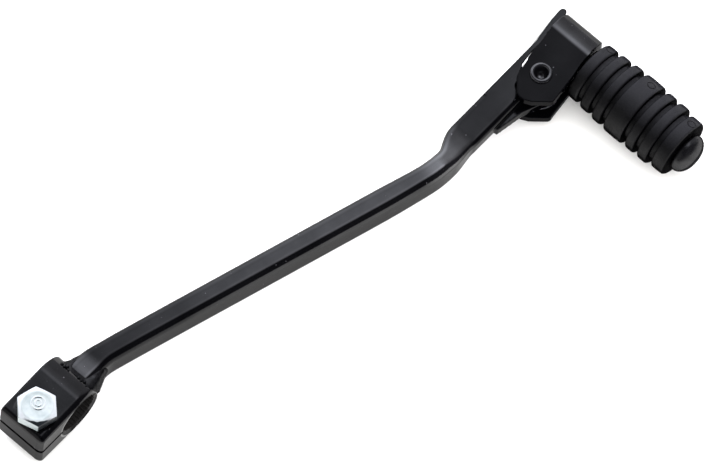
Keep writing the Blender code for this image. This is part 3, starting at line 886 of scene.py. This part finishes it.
def bracket():
    """Sheet folded round the toe pin, cut to its plan: two flanges joined by the fold."""
    inner = BRACKET_HALF - SHEET
    back = -26  # further than the plan reaches
    profile = [(back, BRACKET_HALF)] + arc((0, 0), BRACKET_HALF, QUARTER, -QUARTER, 64)
    profile += [(back, -BRACKET_HALF), (back, -inner)] + arc((0, 0), inner, -QUARTER, QUARTER, 64)
    profile += [(back, inner)]
    piece = prism("toe_bracket_skin", profile, -12, 12, FOLD_AXIS)
    plan = [(12.5, -5.3), (8.7, -5.5), (4.5, -6.25), (1.4, -6.6), (-2.6, -7.05), (-4.4, -7.3)]
    plan += [(-5.1, -7.0), (-8.5, -3.2), (-9.4, -1.4), (-9.6, -0.1), (-9.2, 1.2), (-5.3, 4.6)]
    plan += [(-3.9, 4.95), (-0.2, 5.45), (0.6, 5.85), (3.0, 6.15), (5.5, 6.4), (7.3, 6.5)]
    plan += [(8.6, 6.7), (9.8, 6.9), (11.4, 7.2), (16.8, 7.2), (18.2, 6.9), (19.1, 6.1)]
    plan += [(19.1, -4.4), (17.4, -5.0)]
    outline = [(TOE.x + x, TOE.y + y) for x, y in plan]
    combined(piece, prism("plan", outline, -9, 9), operation="INTERSECT")
    combined(piece, cylinder(RIVET_BODY - 0.1, -9, 9, PIVOT))
    return moulded(piece, BRACKET_VOXEL)


def rivet():
    """Semi-tubular rivet: its end rolled over above, a low domed head below."""
    seat, head = BRACKET_HALF, RIVET_HEAD
    middle, roll = (RIVET_HOLE + RIVET_ROLL) / 2, (RIVET_ROLL - RIVET_HOLE) / 2
    profile = [(0, 3.6), (0.8, 3.65), (1.4, 3.95), (RIVET_HOLE, 4.8)]
    profile += arc((middle, seat + roll - 0.45), roll, math.pi, -math.pi / 2.6, 22)
    profile += [(RIVET_BODY + 0.25, seat - 0.02), (RIVET_BODY, seat - 0.3)]
    profile += [(RIVET_BODY, -seat + 0.2), (head - 0.1, -seat - 0.02)]
    profile += [(head, -seat - 0.12), (head + 0.02, -seat - 0.35)]
    for i in range(1, 13):
        angle = QUARTER * i / 13
        profile.append((head * math.cos(angle), -seat - 0.4 - 1.85 * math.sin(angle)))
    profile.append((0, LOW["pivot_rivet"].z))
    piece = turned("pivot_rivet_fine", profile, 96, Matrix.Translation(PIVOT))
    piece.data.shade_smooth()
    return piece


def plain_ring(name, outer, inner, low, high):
    """Ring about the pivot with slightly broken edges."""
    edge = 0.12
    profile = [(outer - edge, high), (outer, high - edge), (outer, low + edge), (outer - edge, low)]
    profile += [(inner + edge, low), (inner, low + edge), (inner, high - edge), (inner + edge, high)]
    return shaded(turned(name, profile, 96, Matrix.Translation(PIVOT), closed=True), 30)


def wire(name, points):
    """Round spring wire along points, with flat ends."""
    curve = bpy.data.curves.new(name, "CURVE")
    curve.dimensions = "3D"
    curve.bevel_depth = WIRE_RADIUS
    curve.bevel_resolution = 4
    curve.use_fill_caps = True
    spline = curve.splines.new("POLY")
    spline.points.add(len(points) - 1)
    for point, at in zip(spline.points, points):
        point.co = (*at, 1)
    holder = bpy.data.objects.new(name, curve)
    bpy.context.scene.collection.objects.link(holder)
    bpy.context.view_layer.update()
    mesh = bpy.data.meshes.new_from_object(holder)
    bpy.data.objects.remove(holder, do_unlink=True)
    bpy.data.curves.remove(curve)
    bm = bmesh.new()
    bm.from_mesh(mesh)
    bmesh.ops.remove_doubles(bm, verts=bm.verts, dist=0.001)
    bpy.data.meshes.remove(mesh)


    return shaded(from_bmesh(name, bm), 50)


def spring():
    """Coil and hook, which stay with the lever, and the short leg that pushes the toe."""
    steps = 150
    coil = []
    for i in range(steps + 1):
        angle = COIL_START + COIL_SWEEP * i / steps
        height = COIL_TOP + (COIL_BOTTOM - COIL_TOP) * (i / steps) ** 0.8
        x, y = COIL_RADIUS * math.cos(angle), COIL_RADIUS * math.sin(angle)
        coil.append(PIVOT + Vector((x, y, height)))
    outwards = Vector((math.sin(COIL_START), -math.cos(COIL_START), 0))
    leg = [coil[0] + outwards * reach for reach in (8.4, 4, 0.2)]
    _, leave = coil_end()
    end = coil[-1]
    for k in range(1, 6):
        coil.append(end + leave * 0.62 * k)
    hook = end + leave * HOOK_REACH
    for k in range(1, 7):
        turn = QUARTER * k / 6
        back = HOOK_BEND * math.sin(turn) - HOOK_BEND
        down = HOOK_BEND * math.cos(turn) - HOOK_BEND
        coil.append(hook + leave * back + Vector((0, 0, down)))
    coil.append(Vector((hook.x, hook.y, -2.4)))
    return wire("spring_coil", coil), wire("spring_leg", leg)


def toe_pin():
    """Pin with a domed head outside the rubber."""
    head, start = PIN_HEAD, PIN_HEAD_START
    profile = [(0, PIN_TIP)]
    rise = PIN_TIP - start - 0.7
    for i in range(1, 24):
        angle = QUARTER * (1 - i / 24)
        profile.append((head * math.cos(angle) ** 0.9, start + 0.7 + rise * math.sin(angle)))
    profile += [(head, start + 0.7), (head, start + 0.3), (head - 0.12, start + 0.08)]
    profile += [(head - 0.3, start), (PIN_RADIUS, start), (PIN_RADIUS, -4.8)]
    profile += [(PIN_RADIUS - 0.2, -5.0), (0, -5.0)]
    return shaded(turned("toe_pin_fine", profile, 96, PIN_AXIS), 40)


def pin_weld():
    """Lumpy plug weld behind the pin."""
    radius = PIN_RADIUS + 0.05
    profile = [(0, -5.3), (PIN_RADIUS, -5.3), (radius, -6.2)]
    for i in range(1, 11):
        t = i / 10
        profile.append((radius * (1 - t), -6.3 - 0.75 * math.sin(t * QUARTER)))
    piece = turned("pin_weld_bead", profile, 64, PIN_AXIS)
    for vertex in piece.data.vertices:
        vertex.co.y += 0.12 * noise.noise(vertex.co * 0.9)
    piece.data.shade_smooth()
    return piece


def rubber_radius(z):
    """Outer radius of the ribbed rubber at a distance from the pivot."""
    edges = (RUBBER_START, *GROOVES, RUBBER_END)
    for rib, low, high in zip(RIBS, edges, edges[1:]):
        if low <= z <= high:
            before, after = z - low, high - z
            plain_start = low == RUBBER_START and before < after
            plain_end = high == RUBBER_END and after < before
            gap = 0.0 if plain_start or plain_end else GROOVE_HALF
            inset = max(0.0, min(before, after) - gap)
            crown = 0.12 * math.sin(math.pi * (z - low) / (high - low))
            fall = 0.0
            if inset < RIB_CORNER:
                across = RIB_CORNER - inset
                fall = RIB_CORNER - math.sqrt(max(0.0, RIB_CORNER**2 - across**2))
            depth = rib - GROOVE_RADIUS
            drop = (depth - RIB_CORNER) * (inset <= 0)
            return rib - 0.05 + crown - fall * min(1.0, depth / RIB_CORNER) - drop
    return GROOVE_RADIUS


def toe_rubber():
    """Ribbed sleeve with small plain rings where the photo shows moulded marks."""
    start, end = RUBBER_START, RUBBER_END
    bore = PIN_RADIUS + 0.3
    count = 440
    profile = [(bore, start + 0.1), (bore + 0.2, start)]
    for i in range(count + 1):
        z = start + (end - start) * i / count
        profile.append((rubber_radius(z), z))
    profile += [(bore + 0.2, end), (bore, end - 0.1)]
    piece = turned("toe_rubber_ribbed", profile, 160, closed=True)
    marks = []
    for z, around in ((8.5, 48.5), (23.2, 57.5), (37.9, 60.0)):
        across = math.radians(around)
        direction = Vector((math.cos(across), math.sin(across), 0))
        turn = Vector((0, 0, 1)).rotation_difference(direction).to_matrix().to_4x4()
        where = Matrix.Translation(direction * rubber_radius(z) + Vector((0, 0, z))) @ turn
        outline = [(1.0, 0.6), (1.25, 0.6), (1.25, -0.22), (1.0, -0.22)]
        marks.append(turned("mark", outline, 40, where, closed=True))
    combined(piece, *marks)
    piece.data.transform(PIN_AXIS)
    return shaded(piece, 32)


# Everything in its place ------------------------------------------------------------------------

BAR_GLOSS = [(5, 0.15), (8, 0.48), (10, 0.38), (13.2, 0.1), (25, 0.135), (60, 0.28)]
BAR_GLOSS += [(105, 0.33), (117, 1.0), (123, 0.4), (127, 0.12), (170, 0.16)]
TOE_GLOSS = [(140, 0.045), (162.5, 0.055), (163.4, 0.62), (164.3, 0.42)]
TOE_GLOSS += [(167, 0.36), (168.4, 0.14), (170.5, 0.1)]
CLAMP_GLOSS = [(-16, 0.24), (8, 0.24)]
CLAMP_PAINT = black_paint("clamp_black_paint", 0.13, CLAMP_GLOSS, worn_rim, bore=True)
BAR_PAINT = black_paint("bar_black_paint", 0.12, BAR_GLOSS)
TOE_PAINT = black_paint("toe_black_paint", 0.16, TOE_GLOSS, fold_edge)
WELD = weld_paint()
ZINC = bright_zinc()
OXIDE = black_oxide()
SPRING = steel("oiled_spring_wire", (0.09, 0.09, 0.1), 0.3)
BARE = steel("turned_steel", (0.42, 0.42, 0.43), 0.32)
RUBBER = rubber()
SATIN = pin_black()

place(clamp(), "lever", ["clamp_boss"], CLAMP_PAINT)
place(bolt_head(), "lever", ["pinch_bolt"], ZINC)
place(bolt_thread(), "lever", ["pinch_bolt"], ZINC)
place(bar(), "lever", ["arm_bar"], BAR_PAINT)
place(bar_weld(), "lever", ["arm_weld"], WELD)
coil_piece, leg_piece = spring()
place(coil_piece, "lever", ["torsion_spring"], SPRING)
place(leg_piece, "toe", ["torsion_spring"], SPRING)
place(bracket(), "toe", ["toe_bracket"], TOE_PAINT)
place(rivet(), "toe", ["pivot_rivet"], OXIDE)
sleeve_half = BRACKET_HALF - SHEET - 0.1
sleeve = plain_ring("pivot_sleeve_fine", 3.6, 2.75, -sleeve_half, sleeve_half)
place(sleeve, "toe", ["pivot_sleeve"], BARE)
washer_low, washer_high = LOW["thrust_washer"].z, HIGH["thrust_washer"].z
washer = plain_ring("thrust_washer_fine", 5.9, EYE_HOLE, washer_low, washer_high)
place(washer, "lever", ["thrust_washer"], BARE)
place(toe_pin(), "toe", ["toe_pin"], SATIN)
place(pin_weld(), "toe", ["pin_weld"], WELD)
place(toe_rubber(), "toe", ["toe_rubber"], RUBBER)


# Floor, light and camera ------------------------------------------------------------------------


def floor():
    """Plain pale floor, a hair below the lowest CAD corner."""
    gap = 0.0002
    bm = bmesh.new()
    bmesh.ops.create_grid(bm, x_segments=1, y_segments=1, size=6.0)
    lowest = min(corner.z for corner in LOW.values()) * MM
    piece = from_bmesh("floor", bm, Matrix.Translation((0, 0, lowest - gap)))
    n = Nodes("pale_floor", (0.9, 0.89, 0.87), 0.8, specular=0.1)
    piece.data.materials.append(n.material)


def world(card_direction):
    """Studio as the paint mirrors it: soft lights round a dark room, and a dark card.

    The card stands where the camera is, so that faces turned to the camera stay black.
    """
    studio = bpy.data.worlds.new("studio")
    studio.use_nodes = True
    tree = studio.node_tree
    coords = tree.nodes.new("ShaderNodeTexCoord")

    def lobe(direction, *stops):
        """Colour that changes as the view nears the direction, from (cosine, colour) stops."""
        dot = tree.nodes.new("ShaderNodeVectorMath")
        dot.operation = "DOT_PRODUCT"
        dot.inputs[1].default_value = Vector(direction).normalized()
        ramp = tree.nodes.new("ShaderNodeValToRGB")
        fill_band(ramp, stops)
        tree.links.new(coords.outputs["Generated"], dot.inputs[0])
        tree.links.new(dot.outputs["Value"], ramp.inputs[0])
        return ramp.outputs[0]

    def soft(direction, start, end, colour):
        """Light that fades from nothing at the start cosine to its colour at the end cosine."""
        return lobe(direction, (start, (0, 0, 0)), (end, colour))

    def blend(mode, one, two):
        node = tree.nodes.new("ShaderNodeMix")
        node.data_type = "RGBA"
        node.blend_type = mode
        node.inputs[0].default_value = 1.0
        tree.links.new(one, node.inputs[6])
        tree.links.new(two, node.inputs[7])
        return node.outputs[2]

    glow = lobe(
        (0.33, 0.15, 0.93),
        (0.86, (0.035, 0.035, 0.04)),
        (0.955, (0.09, 0.09, 0.1)),
        (0.985, (0.24, 0.25, 0.28)),
        (0.996, (0.66, 0.68, 0.76)),
        (0.9995, (0.88, 0.9, 1.0)),
    )
    window = soft((0.88, 0.35, 0.4), 0.6, 0.95, (0.26, 0.26, 0.28))
    wall = soft((-0.88, 0.3, 0.33), 0.6, 0.95, (0.15, 0.15, 0.15))
    sky = soft((0.33, 0.76, 0.556), 0.75, 0.95, (0.7, 0.72, 0.8))
    strip = soft((0.33, -0.03, 0.94), 0.975, 0.995, (0.5, 0.5, 0.55))
    card = lobe(card_direction, (0.85, (1, 1, 1)), (0.96, (0.1, 0.1, 0.1)))
    colour = glow
    for light in (window, wall, sky, strip):
        colour = blend("ADD", colour, light)
    background = tree.nodes["Background"]
    tree.links.new(blend("MULTIPLY", colour, card), background.inputs["Color"])
    background.inputs["Strength"].default_value = 3.6
    bpy.context.scene.world = studio


def camera():
    """Long lens from above the outer side of the clamp, rolled as the lever lies in the picture.

    Gives back the direction from the lever to the camera.
    """
    azimuth, elevation, roll = math.radians(-56.6), math.radians(66.08), math.radians(8.82)
    shown_width = 0.18193
    target = Vector((85.6, -24.99, 0)) * MM
    away = math.cos(elevation)
    back = Vector((math.sin(azimuth) * away, -math.cos(azimuth) * away, math.sin(elevation)))
    level = Vector((math.cos(azimuth), math.sin(azimuth), 0))
    upright = back.cross(level)
    right = level * math.cos(roll) + upright * math.sin(roll)
    up = back.cross(right)
    data = bpy.data.cameras.new("camera")
    data.sensor_width = 36.0
    data.lens = 950.0
    data.clip_end = 50.0
    distance = shown_width * data.lens / data.sensor_width
    holder = bpy.data.objects.new("camera", data)
    turn = Matrix((right, up, back)).transposed().to_4x4()
    holder.matrix_world = Matrix.Translation(target + back * distance) @ turn
    bpy.context.scene.collection.objects.link(holder)
    bpy.context.scene.camera = holder
    return back


def softbox(name, direction, distance, size, power):
    """Square lamp aimed at the lever, which lights it but isn't mirrored in it."""
    lit_point = Vector((0.08, -0.02, 0))
    data = bpy.data.lights.new(name, "AREA")
    data.shape = "SQUARE"
    data.size = size
    data.energy = power
    lamp = bpy.data.objects.new(name, data)
    lamp.location = lit_point + Vector(direction).normalized() * distance
    lamp.rotation_mode = "QUATERNION"
    lamp.rotation_quaternion = Vector(direction).to_track_quat("Z", "Y")
    lamp.visible_camera = False
    lamp.visible_glossy = False
    bpy.context.scene.collection.objects.link(lamp)


camera_back = camera()
floor()
world(camera_back)
softbox("fill", (0.0, 0.0, 1.0), 1.0, 2.0, 34.0)
softbox("front_fill", (-0.1, -1.0, 0.4), 1.2, 1.2, 16.0)
softbox("side_fill", (1.0, 0.2, 0.45), 1.2, 1.2, 8.0)
bpy.context.scene.view_settings.view_transform = "Standard"
